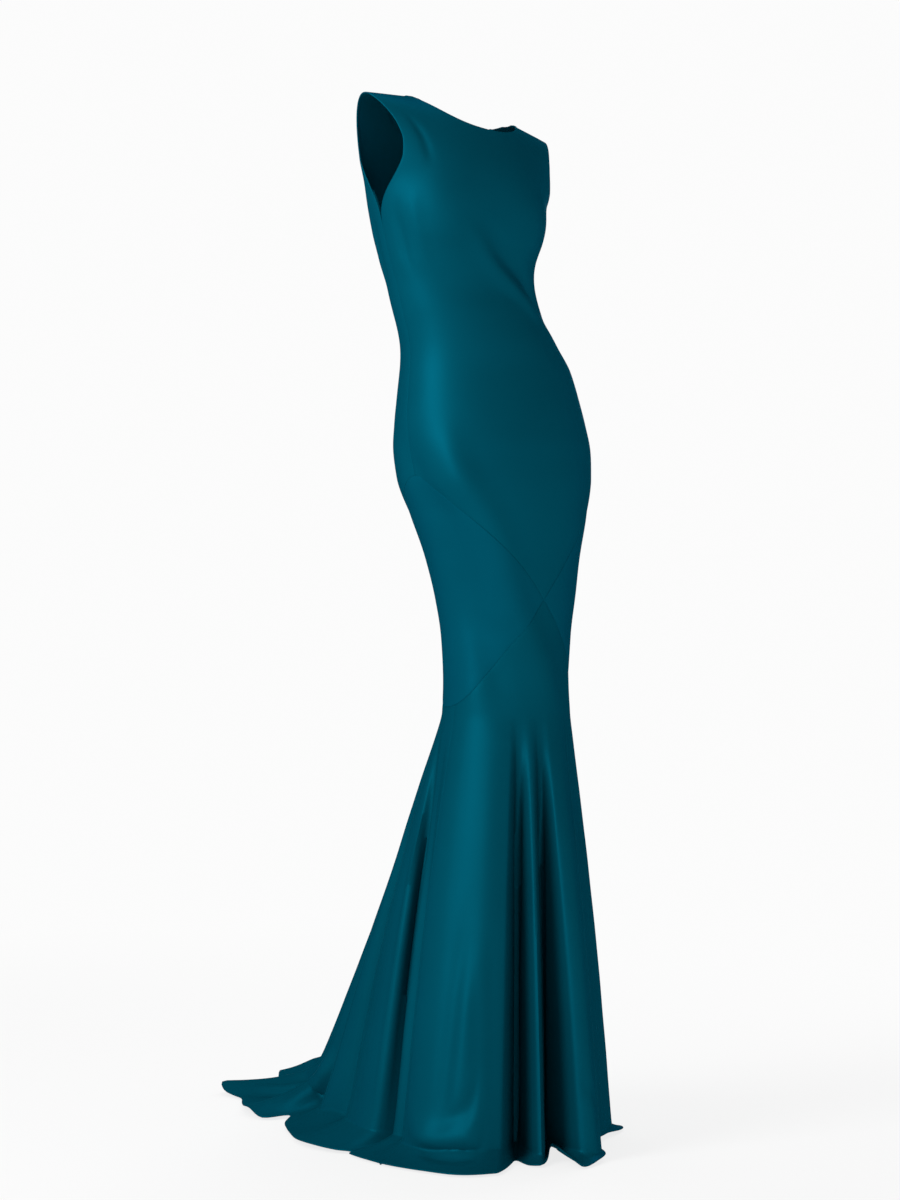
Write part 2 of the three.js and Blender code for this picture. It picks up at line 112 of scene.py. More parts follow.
# Skirt folds: where each fold line touches the floor and where its hem lies, as a bearing and a reach
# from the point between the feet, how far it rises off the floor there, and how far its hem lifts
FOLD_COLUMNS = ("touch_bearing", "touch_reach", "hem_bearing", "hem_reach", "rise", "lift")
FOLD_LINES: tuple[Row, ...] = (
    (-200, -195, 480, -192, 615, 2, 2),
    (-186, -190, 600, -189, 682, 10, 4),
    (-180, -187, 560, -187, 668, 4, 2),
    (-171, -184, 592, -184, 690, 34, 18),
    (-163, -183, 522, -180, 642, 16, 8),
    (-156, -177.6, 512, -173, 670, 30, 16),
    (-153, -176.4, 488, -170.8, 636, 12, 6),
    (-150, -175.5, 462, -170, 594, 2, 2),
    (-145, -174.2, 444, -165, 537, 4, 2),
    (-140, -169.9, 429, -158, 475, 26, 10),
    (-136, -168.8, 396, -154.3, 428, 8, 2),
    (-132, -168.4, 366, -158.5, 398, 0, 2),
    (-129, -156, 334, -150, 372, 6, 2),
    (-126, -147, 262, -133.9, 329, 2, 2),
    (-123, -126, 236, -118, 305, 10, 4),
    (-119.5, -107.5, 205, -104, 267, 8, 2),
    (-114.5, -106, 172, -101, 251, 0, 0),
    (-109, -99, 190, -98.5, 262, 4, 0),
    (-101, -92, 184, -91, 264, 2, 0),
    (-90, -84, 208, -79, 272, 2, 0),
    (-70, -66, 226, -62, 288, 2, 0),
    (-50, -50, 228, -50, 304, 2, 0),
    (-31, -39, 207, -39.7, 284, 2, 0),
    (-24.5, -30.2, 112, -32.4, 175, 0, 0),
    (-22.5, -28.6, 112, -31.6, 177.5, 0, 0),
    (-13, -22, 200, -24.4, 225, 2, 0),
    (-4.5, -9, 114, -14.6, 170, 0, 17),
    (-2, -6.8, 114, -13, 168, 0, 22),
    (6, -6, 208, -11.5, 256, 2, 3),
    (16, -1, 222, -4, 238, 0, 0),
    (26, 6, 206, 6, 214, 0, 0),
    (35, 30, 128, 32, 132, 0, 0),
    (46, 62, 150, 64, 156, 0, 0),
    (60, 88, 193, 89, 219, 0, 0),
    (73, 100, 140, 101, 150, 0, 0),
    (88, 112, 222, 112, 250, 6, 0),
    (102, 122, 175, 124, 215, 2, 0),
    (116, 134, 250, 134, 330, 14, 4),
    (130, 146, 285, 147, 385, 2, 2),
    (145, 157, 400, 158, 520, 18, 6),
    (160, 165, 480, 168, 615, 2, 2),
    (174, 170, 600, 171, 682, 10, 4),
    (180, 173, 560, 173, 668, 4, 2),
)
FIRST_FOLD_TURN = -186.0


def smoothstep(share: Array) -> Array:
    """Eased share between 0 and 1."""
    held = np.clip(share, 0.0, 1.0)
    return held * held * (3.0 - 2.0 * held)


def unit(vectors: Array) -> Array:
    """The same directions at length one."""
    return vectors / np.maximum(np.linalg.norm(vectors, axis=-1, keepdims=True), LEAST_LENGTH)


def wrapped(turn: Array) -> Array:
    """A turn in degrees brought to between -180 and 180."""
    return turn - FULL_TURN * np.round(turn / FULL_TURN)


@dataclass(frozen=True)
class Curve:
    """A smooth line through marked stations that never swings past them."""

    stations: Row
    values: Row

    def slopes(self) -> Array:
        """Slope of the line at each station.

        Returns:
            The slopes, level where the values turn back.
        """
        width = np.diff(np.array(self.stations, float))
        chord = np.diff(np.array(self.values, float)) / width
        before, after = width[:-1], width[1:]
        level = chord[:-1] * chord[1:] <= 0
        lower = np.where(level, 1.0, chord[:-1])
        upper = np.where(level, 1.0, chord[1:])
        weight = (2 * after + before) / lower + (after + 2 * before) / upper
        inner = np.where(level, 0.0, 3 * (before + after) / weight)
        return np.concatenate([chord[:1], inner, chord[-1:]])

    def at(self, place: Array) -> Array:
        """Height of the line.

        Args:
            place: stations at which it is read; past either end the line stays level.

        Returns:
            The values there, in the same shape.
        """
        stations = np.array(self.stations, float)
        values = np.array(self.values, float)
        slopes = self.slopes()
        held = np.clip(place, stations[0], stations[-1])
        k = np.clip(np.searchsorted(stations, held, side="left") - 1, 0, len(stations) - 2)
        width = stations[k + 1] - stations[k]
        u = (held - stations[k]) / width
        u2 = u * u
        u3 = u2 * u
        start = (2 * u3 - 3 * u2 + 1) * values[k] + (u3 - 2 * u2 + u) * slopes[k] * width
        return start + (3 * u2 - 2 * u3) * values[k + 1] + (u3 - u2) * slopes[k + 1] * width


def curves(names: tuple[str, ...], rows: tuple[Row, ...]) -> dict[str, Curve]:
    """One line for each named column of a table.

    Args:
        names: the columns after the first, which holds the stations.
        rows: the table.

    Returns:
        The lines by name.
    """
    columns = tuple(zip(*rows))
    return {name: Curve(columns[0], column) for name, column in zip(names, columns[1:])}


BODY = curves(BODY_COLUMNS, BODY_SECTIONS)
ARMHOLE = curves(ARMHOLE_COLUMNS, ARMHOLE_EDGE)
SEAMS = curves(SEAM_COLUMNS, CROSSED_SEAMS)
FOLDS = curves(FOLD_COLUMNS, FOLD_LINES)


def read(table: dict[str, Curve], place: Array) -> dict[str, Array]:
    """The columns of a table at each place."""
    return {name: line.at(place) for name, line in table.items()}


@dataclass(frozen=True)
class Bust:
    """Soft bust shaping of a general figure, in degrees and millimetres."""

    turn: float = 36.0
    turn_spread: float = 20.0
    height: float = 1368.0
    spread_up: float = 52.0
    spread_down: float = 34.0
    out: float = 12.0
    aside: float = 8.0

    def offset(self, turn: Array, height: Array) -> tuple[Array, Array]:
        """How far the bust stands out, and to which side.

        Args:
            turn: degrees from the centre front.
            height: millimetres above the floor.

        Returns:
            The distances forward and sideways.
        """
        spread = np.where(height > self.height, self.spread_up, self.spread_down)
        up = ((height - self.height) / spread) ** 2
        out = np.zeros_like(up)
        aside = np.zeros_like(up)
        for side in (1, -1):
            across = ((wrapped(turn) - side * self.turn) / self.turn_spread) ** 2
            share = np.exp(-(across + up))
            out = out + self.out * share
            aside = aside + side * self.aside * share * math.sin(math.radians(self.turn))
        return out, aside


@dataclass(frozen=True)
class GownForm:
    """The worn form of the gown: a point for each turn about the body and each height on the cloth."""

    section_power: float = 2.15
    armhole_base: float = 1398.0
    strap_outer: float = 165.0
    strap_inner: float = 98.0
    strap_outer_height: float = 1539.0
    strap_inner_height: float = 1548.0
    neck_line_height: float = 1560.0
    neck_drop: float = 34.0
    neck_power: float = 2.4
    shoulder_backward: float = 4.0
    upper_half_width: float = 181.0
    shoulder_roll: float = math.radians(8.7)
    roll_start: float = 1240.0
    roll_full: float = 1480.0
    stance_x: float = 63.0
    stance_y: float = -35.0
    knee_ease: float = 13.0
    train_ease: float = 60.0
    train_reach: Pair = (480.0, 620.0)
    bell: float = 0.35
    bell_reach: Pair = (240.0, 400.0)
    floor_rounding: Pair = (16.0, 32.0)
    floor_strip: Pair = (40.0, 80.0)
    near_start: float = 40.0
    near_softness: float = 22.0
    short_hem: float = 30.0
    short_hem_power: float = 6.0
    hem_clearance: float = 2.4
    seam_middle: float = 820.0
    bust: Bust = Bust()

    def corner_scale(self, across: Array, ahead: Array) -> Array:
        """What brings a point of the unit circle out to the rounded section."""
        total = np.abs(across) ** self.section_power + np.abs(ahead) ** self.section_power
        return total ** (-1 / self.section_power)

    def turn_of_share(self, share: Array) -> Array:
        """The turn at which a section reaches a share of its half width."""
        ahead = (1 - np.abs(share) ** self.section_power) ** (1 / self.section_power)
        return np.degrees(np.arctan2(share, ahead))

    def fitted(self, turn: Array, height: Array) -> Array:
        """Point of the fitted part.

        Args:
            turn: degrees from the centre front towards the wearer's left.
            height: millimetres above the floor.

        Returns:
            Points in millimetres, one for each pair.
        """
        section = read(BODY, height)
        across = np.sin(np.radians(turn))
        ahead = np.cos(np.radians(turn))
        scale = self.corner_scale(across, ahead)
        depth = np.where(ahead > 0, section["front"], section["back"])
        out, aside = self.bust.offset(turn, height)
        x = section["centre_x"] + section["half_width"] * across * scale + aside
        y = section["centre_y"] - depth * ahead * scale - out
        return np.stack([x, y, height + 0 * x], axis=-1)

    def from_stance(self, bearing: Array, reach: Array) -> Array:
        """Plan place at a bearing and reach from the point between the feet.

        Args:
            bearing: degrees from the front towards the wearer's left.
            reach: millimetres.

        Returns:
            Points in plan, in millimetres.
        """
        angle = np.radians(bearing)
        x = self.stance_x + reach * np.sin(angle)
        y = self.stance_y - reach * np.cos(angle)
        return np.stack([x, y], axis=-1)

    def fold(self, turn: Array) -> dict[str, Array]:
        """The columns of the fold table at each turn."""
        return read(FOLDS, FIRST_FOLD_TURN + np.mod(turn - FIRST_FOLD_TURN, FULL_TURN))

    def flared(self, turn: Array, share: Array) -> Array:
        """Point of the flared part.

        Args:
            turn: degrees from the centre front at the knee.
            share: 0 at the knee and 1 at the hem, along the cloth.

        Returns:
            Points in millimetres.
        """
        fold = self.fold(turn)
        knee = self.fitted(turn, np.full_like(turn, KNEE_HEIGHT))[..., :2]
        touch = self.from_stance(fold["touch_bearing"], fold["touch_reach"])
        hem = self.from_stance(fold["hem_bearing"], fold["hem_reach"])
        on_floor = np.linalg.norm(touch - hem, axis=-1)
        hang = np.hypot(KNEE_HEIGHT, np.linalg.norm(knee - touch, axis=-1))
        length = share * (hang + on_floor)
        none, full = self.train_reach
        train = smoothstep((fold["touch_reach"] - none) / (full - none))
        ease = self.knee_ease + self.train_ease * train
        straight = np.clip((np.hypot(length, ease) - ease) / (np.hypot(hang, ease) - ease), 0, 1)
        near_bell, far_bell = self.bell_reach
        bell = self.bell * (1 - smoothstep((fold["touch_reach"] - near_bell) / (far_bell - near_bell)))
        out = straight * (1 + bell * (1 - straight))
        over = np.clip((length - hang) / on_floor, 0, 1)
        plan = knee + (touch - knee) * out[..., None] + (hem - touch) * over[..., None]
        near = 1 / (1 + np.exp(-(length - hang + self.near_start) / self.near_softness))
        fall = KNEE_HEIGHT * (1 - length / hang)
        short_strip, long_strip = self.floor_strip
        strip = smoothstep((on_floor - short_strip) / (long_strip - short_strip))
        tight, wide = self.floor_rounding
        rounding = tight + (wide - tight) * strip
        height = rounding * np.log1p(np.exp(-np.abs(fall) / rounding)) + np.maximum(fall, 0)
        height = height + fold["rise"] * near * (1 - over) + fold["lift"] * over * near
        height = height + self.hem_clearance * near
        short = fold["lift"] * np.minimum(length / hang, 1) ** self.short_hem_power
        height = height + np.where(on_floor < self.short_hem, short, 0)
        return np.concatenate([plan, height[..., None]], axis=-1)

    def tube(self, turn: Array, level: Array) -> Array:
        """Point below the armholes; under the knee the level falls to 0 at the hem.

        Args:
            turn: degrees from the centre front.
            level: millimetres above the floor down to the knee, then the share of cloth left to the hem.

        Returns:
            Points in millimetres.
        """
        fitted = self.fitted(turn, np.maximum(level, KNEE_HEIGHT))
        flared = self.flared(turn, np.clip(1 - level / KNEE_HEIGHT, 0, 1))
        return np.where((level >= KNEE_HEIGHT)[..., None], fitted, flared)

    def shoulder_line(self, across: Array) -> Array:
        """Height of the line from shoulder to shoulder at a half width.

        Args:
            across: distance from the middle, in millimetres.

        Returns:
            Heights in millimetres.
        """
        run = self.strap_outer - self.strap_inner
        slope = (self.strap_inner_height - self.strap_outer_height) / run
        strap = self.strap_outer_height + (self.strap_outer - across) * slope
        rise = self.neck_line_height - self.strap_inner_height
        neck = self.strap_inner_height + rise * (1 - (across / self.strap_inner) ** 2)
        return np.where(across >= self.strap_inner, strap, neck)

    def top_edge(self, across: Array) -> Array:
        """Height of the strap tops and of the neckline between them.

        Args:
            across: distance from the middle, in millimetres.

        Returns:
            Heights in millimetres.
        """
        share = np.minimum(across / self.strap_inner, 1)
        neck = self.strap_inner_height - self.neck_drop * (1 - share**self.neck_power)
        return np.where(across >= self.strap_inner, self.shoulder_line(across), neck)

    def bodice(self, turn: Array, share: Array, is_front: bool) -> Array:
        """Point of the bodice above the armhole base.

        Args:
            turn: degrees from the centre front.
            share: 0 at the armhole base and 1 at the top edge.
            is_front: whether it is the front or the back.

        Returns:
            Points in millimetres.
        """
        section = read(BODY, np.full_like(turn, self.armhole_base))
        sine = np.sin(np.radians(turn))
        across_share = sine * self.corner_scale(sine, np.cos(np.radians(turn)))
        edge = ARMHOLE["front" if is_front else "back"].at(share)
        across = np.abs(across_share * edge)
        top = self.top_edge(np.abs(across_share) * self.strap_outer)
        height = self.armhole_base + (top - self.armhole_base) * share
        climb = (height - self.armhole_base) / (self.shoulder_line(across) - self.armhole_base)
        climb = np.minimum(climb, 1)
        half_width = section["half_width"] + (self.upper_half_width - section["half_width"]) * climb
        power = self.section_power
        round_share = np.maximum(1 - (across / half_width) ** power, 0) ** (1 / power)
        roll = np.maximum(1 - climb**power, 0) ** (1 / power)
        depth = section["front" if is_front else "back"] * round_share * roll
        out, aside = self.bust.offset(turn, height)
        x = section["centre_x"] + across_share * edge + aside * roll
        y = section["centre_y"] + self.shoulder_backward * climb + (-depth if is_front else depth)
        return np.stack([x, y - out * roll, height], axis=-1)

    def placed(self, points: Array) -> Array:
        """The points with the right shoulder raised, from the origin between the shoulders.

        Args:
            points: in millimetres above the floor.

        Returns:
            Points in millimetres from the origin.
        """
        rise = smoothstep((points[..., 2] - self.roll_start) / (self.roll_full - self.roll_start))
        height = points[..., 2] - points[..., 0] * math.tan(self.shoulder_roll) * rise
        return np.stack([points[..., 0], points[..., 1], height - SHOULDER_HEIGHT], axis=-1)

    def per_degree(self, turn: Array, level: Array) -> Array:
        """Millimetres of cloth to a degree of turn below the armholes.

        Args:
            turn: degrees from the centre front.
            level: as for a point of the tube.

        Returns:
            The lengths.
        """
        step = 0.1
        span = self.tube(turn + step, level) - self.tube(turn - step, level)
        return np.linalg.norm(span, axis=-1) / (2 * step)

    def seam(self, name: str, turn: Array) -> Array:
        """Height of a crossed seam at a turn."""
        return SEAMS[name].at(np.abs(wrapped(turn)))

    def seam_slant(self, name: str, turn: Array) -> Array:
        """How much longer a step across a crossed seam is when it is taken straight up.

        Args:
            name: upper or lower.
            turn: degrees from the centre front.

        Returns:
            The ratio, 1 where the seam runs level.
        """
        step = 0.4
        rise = self.seam(name, turn + step) - self.seam(name, turn - step)
        run = 2 * step * self.per_degree(turn, np.full_like(turn, self.seam_middle))
        return np.hypot(1, rise / run)


class Run(Enum):
    """Which way a crease runs over the cloth."""

    UP = "up"
    ROUND = "round"


@dataclass(frozen=True)
class Crease:
    """One soft fold in the cloth, a ridge where out is positive and a trough where it is negative."""

    path: tuple[Pair, ...]
    out: float
    width: float
    fade: float = 0.35
    run: Run = Run.UP
    probe: float = 0.5

    def relief(self, turn: Array, height: Array, per_degree: Array) -> Array:
        """How far the crease moves the cloth out.

        Args:
            turn: degrees from the centre front.
            height: millimetres above the floor, or the level below the knee.
            per_degree: millimetres of cloth to a degree.

        Returns:
            Millimetres along the outward direction.
        """
        goes_up = self.run is Run.UP
        key = 1 if goes_up else 0
        path = sorted(self.path, key=lambda stop: stop[key])
        stations = tuple(stop[key] for stop in path)
        line = Curve(stations, tuple(stop[1 - key] for stop in path))
        middle = sum(stop[0] for stop in path) / len(path)
        near_turn = middle + wrapped(turn - middle)
        along = height if goes_up else near_turn
        slope = (line.at(along + self.probe) - line.at(along - self.probe)) / (2 * self.probe)
        if goes_up:
            aside = (near_turn - line.at(along)) * per_degree
            slant = slope * per_degree
        else:
            aside = height - line.at(along)
            slant = slope / per_degree
        share = (along - stations[0]) / (stations[-1] - stations[0])
        ends = smoothstep(share / self.fade) * smoothstep((1 - share) / self.fade)
        return self.out * ends * np.exp(-((aside / np.hypot(1, slant) / self.width) ** 2))


# Paths of the long pull over the thighs, from the right hip to the front of the knee
THIGH_RIDGE = ((-58, 1100), (-49, 997), (-38, 932), (-25, 806), (-11, 757), (1, 712), (12, 610))
THIGH_TROUGH = ((-99, 1100), (-83, 997), (-71, 932), (-64, 806), (-54, 757), (-44, 712), (-34, 610))

# Creases listed one by one: a path of (turn, height) stops, how far out each stands, its width and how
# soon it fades where that isn't usual; first those on the side that the photograph shows, then those
# behind
UPRIGHT_CREASES = (
    (((-22, 1375), (-1, 1313), (28.6, 1260), (47.6, 1200)), 4.4, 15),
    (((-14, 1392), (8, 1332), (36, 1276), (56, 1216)), -4.8, 16),
    (((19, 1325), (42, 1268), (55, 1230)), -2.4, 10, 0.4),
    (THIGH_RIDGE, 8.5, 26, 0.22),
    (THIGH_TROUGH, -9, 30, 0.22),
    (((60, 1345), (62, 1290), (66, 1240)), -2.4, 9, 0.4),
    (((-58, 1520), (-52, 1480), (-46, 1430)), -2.6, 10, 0.4),
    (((-74, 1400), (-70, 1340), (-66, 1280)), -2.8, 9, 0.4),
    (((-60, 1410), (-56, 1350), (-50, 1290)), 2.2, 12, 0.4),
    (((-58, 430), (-62, 280), (-65, 160), (-68, 50)), -3.2, 13),
    (((-54, 360), (-57, 200), (-59, 70)), 3.0, 15),
    (((-49, 330), (-47, 200), (-46, 70)), -2.6, 12),
    (((-40, 400), (-38, 250), (-36, 90)), -2.2, 11),
    (((-23.5, 560), (-23.5, 40)), -11, 9, 0.2),
    (((-3.2, 540), (-3.2, 60)), -9, 9, 0.2),
    (((-114.5, 600), (-114.5, 300), (-113, 20)), -13, 12, 0.3),
    (((-126, 500), (-126, 40)), -15, 14, 0.25),
    (((-119.5, 520), (-119.5, 60)), 6, 12, 0.25),
    (((-101, 560), (-101, 90)), -3, 12),
    (((-131, 190), (-131, 100), (-130, 25)), 9, 15, 0.3),
    (((-138, 180), (-137.5, 90), (-137, 20)), 9, 16, 0.3),
    (((-150, 170), (-152, 90), (-154, 20)), 10, 17, 0.3),
    (((-160, 140), (-161, 70), (-163, 15)), 8, 16, 0.3),
    (((97, 560), (97, 60)), -5, 11, 0.3),
    (((122, 540), (124, 280), (126, 60)), -7, 14, 0.3),
    (((138, 520), (140, 260), (142, 50)), 6, 15, 0.3),
    (((151, 570), (152, 300), (154, 60)), -8, 17, 0.3),
    (((168, 530), (167, 280), (166, 60)), -7, 17, 0.3),
    (((-164, 560), (-164, 90)), -8, 18, 0.3),
    (((-147, 540), (-146, 300), (-146, 120)), -7, 14, 0.3),
    (((128, 1420), (138, 1350), (150, 1290)), 2.6, 13, 0.4),
    (((232, 1430), (224, 1350), (214, 1280)), -2.6, 12, 0.4),
    (((104, 1390), (108, 1320), (112, 1260)), -2.4, 9, 0.4),
    (((256, 1390), (252, 1330), (248, 1262)), -2.8, 10, 0.4),
)
ROUND_CREASES = (
    (((-88, 96), (-70, 84), (-52, 96), (-38, 128)), 6.5, 22, 0.3),
    (((-80, 58), (-62, 46), (-46, 58), (-37, 84)), -4.5, 13, 0.3),
    (((-66, 112), (-54, 138), (-44, 178)), -2.6, 11, 0.35),
    (((8, 150), (16, 120), (24, 96)), -2.4, 10, 0.35),
    (((120, 1230), (150, 1218), (180, 1224), (206, 1214)), -3.2, 12, 0.3),
    (((132, 1196), (165, 1188), (198, 1196)), -2.2, 10, 0.35),
)
CREASES = [Crease(*row) for row in UPRIGHT_CREASES] + [Crease(*row, Run.ROUND) for row in ROUND_CREASES]


# Long waves of the cloth's drift: radians for each millimetre along x, y and z, then the phase
DRIFT_WAVES: tuple[Row, ...] = (
    (0.031, 0.017, 0.043, 0.3),
    (-0.023, 0.049, 0.019, 1.9),
    (0.057, -0.037, 0.011, 4.1),
    (0.013, 0.029, -0.061, 2.7),
)


@dataclass(frozen=True)
class Surface:
    """Small unevenness of the sewn cloth, in millimetres."""

    drift: float = 0.35
    seam_dip: float = 0.4
    seam_dip_width: float = 5.0
    pucker: float = 0.16
    pucker_reach: float = 8.0
    pucker_steps: Pair = (3.7, 5.3)
    pucker_phase: float = 1.1

    def unevenness(self, points: Array) -> Array:
        """Slow, shallow drift of a hand-sewn sheet, from a few long waves.

        Args:
            points: grid of points in millimetres.

        Returns:
            Millimetres outwards.
        """
        total = np.zeros(points.shape[:-1])
        for x, y, z, phase in DRIFT_WAVES:
            total = total + np.sin(points[..., 0] * x + points[..., 1] * y + points[..., 2] * z + phase)
        return self.drift * total / len(DRIFT_WAVES)

    def seam_relief(self, distance: Array, along: Array) -> Array:
        """Dip and faint pucker beside a seam.

        Args:
            distance: millimetres from the seam.
            along: millimetres along it.

        Returns:
            Millimetres outwards.
        """
        dip = -self.seam_dip * np.exp(-((distance / self.seam_dip_width) ** 2))
        first, second = self.pucker_steps
        wave = np.sin(along / first) + np.sin(along / second + self.pucker_phase)
        return dip + self.pucker * wave / 2 * np.exp(-distance / self.pucker_reach)


SEAM_TURN = 90.0
HEM_TURN = 180.0
BEND_SHARES = (0.2, 0.4, 0.6, 0.8, 1.0)
TAIL_SHARES = (0.4, 1.0)
CORNER_ROOM = (0.03, 0.03, 0.03, 0.2, 0.4, 0.6, 0.8, 1.0)
MITRE_LEAST = 0.6


def corner_room(count: int, most: float) -> Array:
    """Radius left for each station of an edge whose two ends are turned in already.

    Args:
        count: stations along the edge, the turned-in ones included.
        most: radius away from the corners, in millimetres.

    Returns:
        The radii, dying away round both corners.
    """
    steps = np.arange(count)
    steps = np.minimum(steps, steps[::-1])
    return most * np.interp(steps, np.arange(len(CORNER_ROOM)), CORNER_ROOM)


@dataclass(frozen=True)
class Turning:
    """How the cloth turns in along an edge, at each station of it."""

    angle: Array
    radius: Array
    tail: Array

    def rows(self, points: Array, normals: Array) -> Array:
        """Rows that carry the last row of a grid round the edge and on.

        Args:
            points: grid of points [column, row], in millimetres.
            normals: outward directions of the grid.

        Returns:
            The new rows, in order away from the edge.
        """
        edge = points[:, -1]
        normal = normals[:, -1]
        away_in = edge - points[:, -3]
        middle = unit(normal[1:] + normal[:-1])
        away = unit(np.cross(np.diff(edge, axis=0), middle))
        sense = np.sum(away * (away_in[1:] + away_in[:-1]), axis=1, keepdims=True)
        away = away * np.where(sense < 0, -1.0, 1.0)
        before = np.concatenate([away[:1], away])
        after = np.concatenate([away, away[-1:]])
        out = unit(before + after)
        out = out / np.maximum(np.sum(out * before, axis=1, keepdims=True), MITRE_LEAST)
        angle = np.radians(self.angle)[:, None]
        radius = self.radius[:, None]
        rows = []
        for share in BEND_SHARES:
            turned = angle * share
            rows.append(edge + out * radius * np.sin(turned) - normal * radius * (1 - np.cos(turned)))
        bend_end = rows[-1]
        run_on = out * np.cos(angle) - normal * np.sin(angle)
        for share in TAIL_SHARES:
            rows.append(bend_end + run_on * self.tail[:, None] * share)
        return np.stack(rows, axis=1)


def grid_normals(points: Array) -> Array:
    """Outward directions of a grid whose columns run to the wearer's left and whose rows run up."""
    return unit(np.cross(np.gradient(points, axis=0), np.gradient(points, axis=1)))


class Edge(Enum):
    """The four edges of a panel's grid: the axis that runs to each, and 1 or -1 for which end it is."""

    FOOT = (1, -1)
    HEAD = (1, 1)
    START = (0, -1)
    END = (0, 1)


def with_turning(points: Array, edge: Edge, turning: Turning) -> Array:
    """The grid with one edge turned in.

    Args:
        points: grid of points [column, row].
        edge: the edge that is turned.
        turning: how it is turned, at each station of that edge.

    Returns:
        The longer grid, in the same order.
    """
    axis, direction = edge.value
    normals = grid_normals(points).swapaxes(axis, 1)[:, ::direction]
    points = points.swapaxes(axis, 1)[:, ::direction]
    points = np.concatenate([points, turning.rows(points, normals)], axis=1)
    return points[:, ::direction].swapaxes(axis, 1)


@dataclass(frozen=True)
class Sewing:
    """Sizes of the sewn edges, in millimetres."""

    cloth: float = 0.9
    seam_radius: float = 0.6
    seam_allowance: float = 3.0
    hem_radius: float = 1.0
    hem_allowance: float = 8.0

    def turning(self, hem_share: Array, room: Array | None = None) -> Turning:
        """The turned edge between a seam and a hem.

        Args:
            hem_share: 0 where the edge is a seam and 1 where it is a hem.
            room: the most that the radius may be at each station, if it is short.

        Returns:
            The turning along the edge.
        """
        radius = self.seam_radius + (self.hem_radius - self.seam_radius) * hem_share
        tail = self.seam_allowance + (self.hem_allowance - self.seam_allowance) * hem_share
        if room is not None:
            tail = tail * np.minimum(room / radius, 1)
            radius = np.minimum(radius, room)
        return Turning(SEAM_TURN + (HEM_TURN - SEAM_TURN) * hem_share, radius, tail)


def wire(tree: bpy.types.NodeTree, values: tuple, links: tuple) -> None:
    """Sets the constant values of a material's nodes and joins the nodes.

    Args:
        tree: the material's node tree.
        values: rows of node, socket and value.
        links: rows of node, output, next node and socket.
    """
    for node, socket, value in values:
        node.inputs[socket].default_value = value
    for node, output, target, socket in links:
        tree.links.new(node.outputs[output], target.inputs[socket])


SATIN_NODES = (
    "ShaderNodeTexCoord",
    "ShaderNodeTexNoise",
    "ShaderNodeMix",
    "ShaderNodeMapRange",
    "ShaderNodeMapping",
    "ShaderNodeTexWave",
    "ShaderNodeBump",
    "ShaderNodeTexNoise",
    "ShaderNodeBump",
)


@dataclass(frozen=True)
class SatinFinish:
    """Deep teal satin for one group of panels; colours are screen values from 0 to 255."""

    slot: str
    face: Triple
    deep: Triple
    metallic: float = 0.4
    edge_tint: tuple[float, ...] = (0.0, 0.10, 0.16, 1.0)
    roughness: float = 0.5
    roughness_swing: float = 0.05
    tone_scale: float = 7.0
    thread: float = 0.00055
    bias: float = math.radians(45)
    weave_depth: float = 0.0002
    hand_scale: float = 55.0
    hand_depth: float = 0.0009
    bump_strength: float = 0.10

    def linear(self, colour: Triple) -> tuple[float, ...]:
        """A screen colour as light."""
        return (*Color([share / 255 for share in colour]).from_srgb_to_scene_linear(), 1.0)

    def material(self) -> bpy.types.Material:
        """Satin with a fine slanted weave, slow changes of tone and gloss, and a soft sheen.

        Returns:
            The material, which reads the cloth's own UV map and Object coordinates.
        """
        made = bpy.data.materials.new(f"teal_{self.slot}")
        made.use_nodes = True
        nodes = made.node_tree.nodes
        shader = nodes["Principled BSDF"]
        place, tone, colour, gloss, turned, floats, weave, hand, soft = map(nodes.new, SATIN_NODES)
        colour.data_type = "RGBA"
        values = (
            (shader, "Metallic", self.metallic),
            (shader, "Specular Tint", self.edge_tint),
            (shader, "Specular IOR Level", 0.0),
            (tone, "Scale", self.tone_scale),
            (tone, "Detail", 3.0),
            (colour, "A", self.linear(self.deep)),
            (colour, "B", self.linear(self.face)),
            (gloss, "To Min", self.roughness - self.roughness_swing),
            (gloss, "To Max", self.roughness + self.roughness_swing),
            (turned, "Rotation", (0, 0, self.bias)),
            (floats, "Scale", 2 * math.pi / (20 * self.thread)),
            (floats, "Distortion", 0.6),
            (floats, "Detail", 1.0),
            (weave, "Strength", self.bump_strength),
            (weave, "Distance", self.weave_depth),
            (hand, "Scale", self.hand_scale),
            (hand, "Detail", 2.0),
            (soft, "Strength", self.bump_strength),
            (soft, "Distance", self.hand_depth),
        )
        links = (
            (place, "Object", tone, "Vector"),
            (tone, "Fac", colour, "Factor"),
            (colour, "Result", shader, "Base Color"),
            (tone, "Fac", gloss, "Value"),
            (gloss, "Result", shader, "Roughness"),
            (place, "UV", turned, "Vector"),
            (turned, "Vector", floats, "Vector"),
            (floats, "Fac", weave, "Height"),
            (place, "Object", hand, "Vector"),
            (hand, "Fac", soft, "Height"),
            (weave, "Normal", soft, "Normal"),
            (soft, "Normal", shader, "Normal"),
        )
        wire(made.node_tree, values, links)
        return made


def cloth_lengths(points: Array) -> Array:
    """Place of each point on the flat cloth, in metres.

    Args:
        points: grid of points [column, row], in millimetres.

    Returns:
        Grid of UV places measured along the cloth from its middle.
    """
    across = np.linalg.norm(np.diff(points, axis=0), axis=-1)
    up = np.linalg.norm(np.diff(points, axis=1), axis=-1)
    u = np.concatenate([np.zeros((1, points.shape[1])), np.cumsum(across, axis=0)])
    v = np.concatenate([np.zeros((points.shape[0], 1)), np.cumsum(up, axis=1)], axis=1)
    u = u - u[points.shape[0] // 2]
    return np.stack([u, v], axis=-1) * MM


@dataclass(frozen=True)
class Cut:
    """The flat cut of a panel in metres: its widest and longest measure, and its area."""

    width: float
    length: float
    area: float


